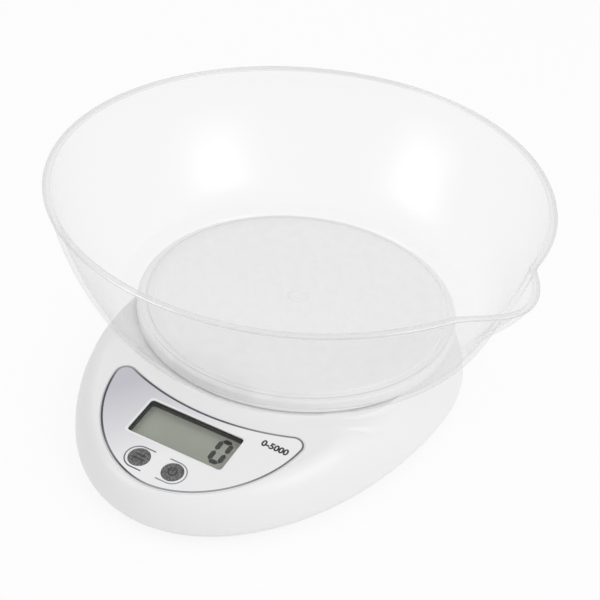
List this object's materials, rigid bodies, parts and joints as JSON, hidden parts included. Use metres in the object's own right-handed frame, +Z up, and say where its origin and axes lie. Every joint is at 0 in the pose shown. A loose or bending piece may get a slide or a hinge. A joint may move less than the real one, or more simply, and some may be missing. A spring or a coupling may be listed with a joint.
{
  "type": "kitchen scale with bowl",
  "caption": "Electronic kitchen scale: clear round lift-off bowl with a pouring spout on a round platform over a low egg-shaped base with a sloping display panel and push buttons.",
  "frame": {"origin": "middle of the overall box, on the table under the feet", "axes": "+Z up, -Y towards the display's side, +X towards the spout's side"},
  "size_m": [0.2229, 0.2368, 0.1],
  "materials": {
    "clear_plastic": "clear, glossy",
    "white_plastic": "satin",
    "inner_plastic": "matt",
    "silver_label": "satin print",
    "clear_window": "clear, glossy",
    "display_glass": "smooth",
    "grey_buttons": "satin",
    "black_plastic": "matt",
    "steel": "zinc plated",
    "aluminium": "milled",
    "sealant": "smooth",
    "board": "lacquered",
    "components": "matt",
    "connector": "matt",
    "battery": "printed sleeve",
    "red_leads": "smooth",
    "black_leads": "smooth",
    "foot_rubber": "matt"
  },
  "bodies": {
    "base": {"top_cover": "white_plastic", "bottom_cover": "white_plastic", "case_screws": "steel", "load_cell": "aluminium", "gauge_sealant": "sealant", "cell_foot_block": "aluminium", "cell_lower_screws": "steel", "label_panel": "silver_label", "display_window": "clear_window", "lcd_glass": "display_glass", "lcd_frame": "black_plastic", "lcd_connector": "connector", "circuit_board": "board", "chip_coating": "black_plastic", "board_components": "components", "board_screws": "steel", "unit_switch": "black_plastic", "power_switch": "black_plastic", "battery_left": "battery", "battery_right": "battery", "battery_springs": "steel", "battery_contacts": "steel", "load_cell_leads": "red_leads", "battery_leads": "black_leads", "foot_front_left": "foot_rubber", "foot_front_right": "foot_rubber", "foot_rear_left": "foot_rubber", "foot_rear_right": "foot_rubber"},
    "platform": {"weighing_platform": "white_plastic", "platform_carrier": "inner_plastic", "platform_screws": "steel", "cell_upper_screws": "steel"},
    "bowl": {"bowl": "clear_plastic"},
    "unit_button": {"unit_button": "grey_buttons", "unit_plunger": "black_plastic"},
    "power_button": {"power_button": "grey_buttons", "power_plunger": "black_plastic"},
    "battery_door": {"battery_door": "white_plastic"}
  },
  "joints": [
    {"name": "platform_press", "type": "slide", "parent": "base", "child": "platform", "axis": [0, 0, -1], "range_m": [0, 0.0005], "stiffness_N_per_m": 98000},
    {"name": "bowl_lift", "type": "slide", "parent": "platform", "child": "bowl", "axis": [0, 0, 1], "range_m": [0, 0.08]},
    {"name": "unit_button_press", "type": "slide", "parent": "base", "child": "unit_button", "axis": [0, 0.1392, -0.9903], "range_m": [0, 0.0005], "stiffness_N_per_m": 4000},
    {"name": "power_button_press", "type": "slide", "parent": "base", "child": "power_button", "axis": [0, 0.1392, -0.9903], "range_m": [0, 0.0005], "stiffness_N_per_m": 4000},
    {"name": "battery_door_hinge", "type": "hinge", "parent": "base", "child": "battery_door", "pos_m": [-0.00147, 0.04627, 0.0039], "axis": [-1, 0, 0], "range_deg": [0, 95]}
  ]
}
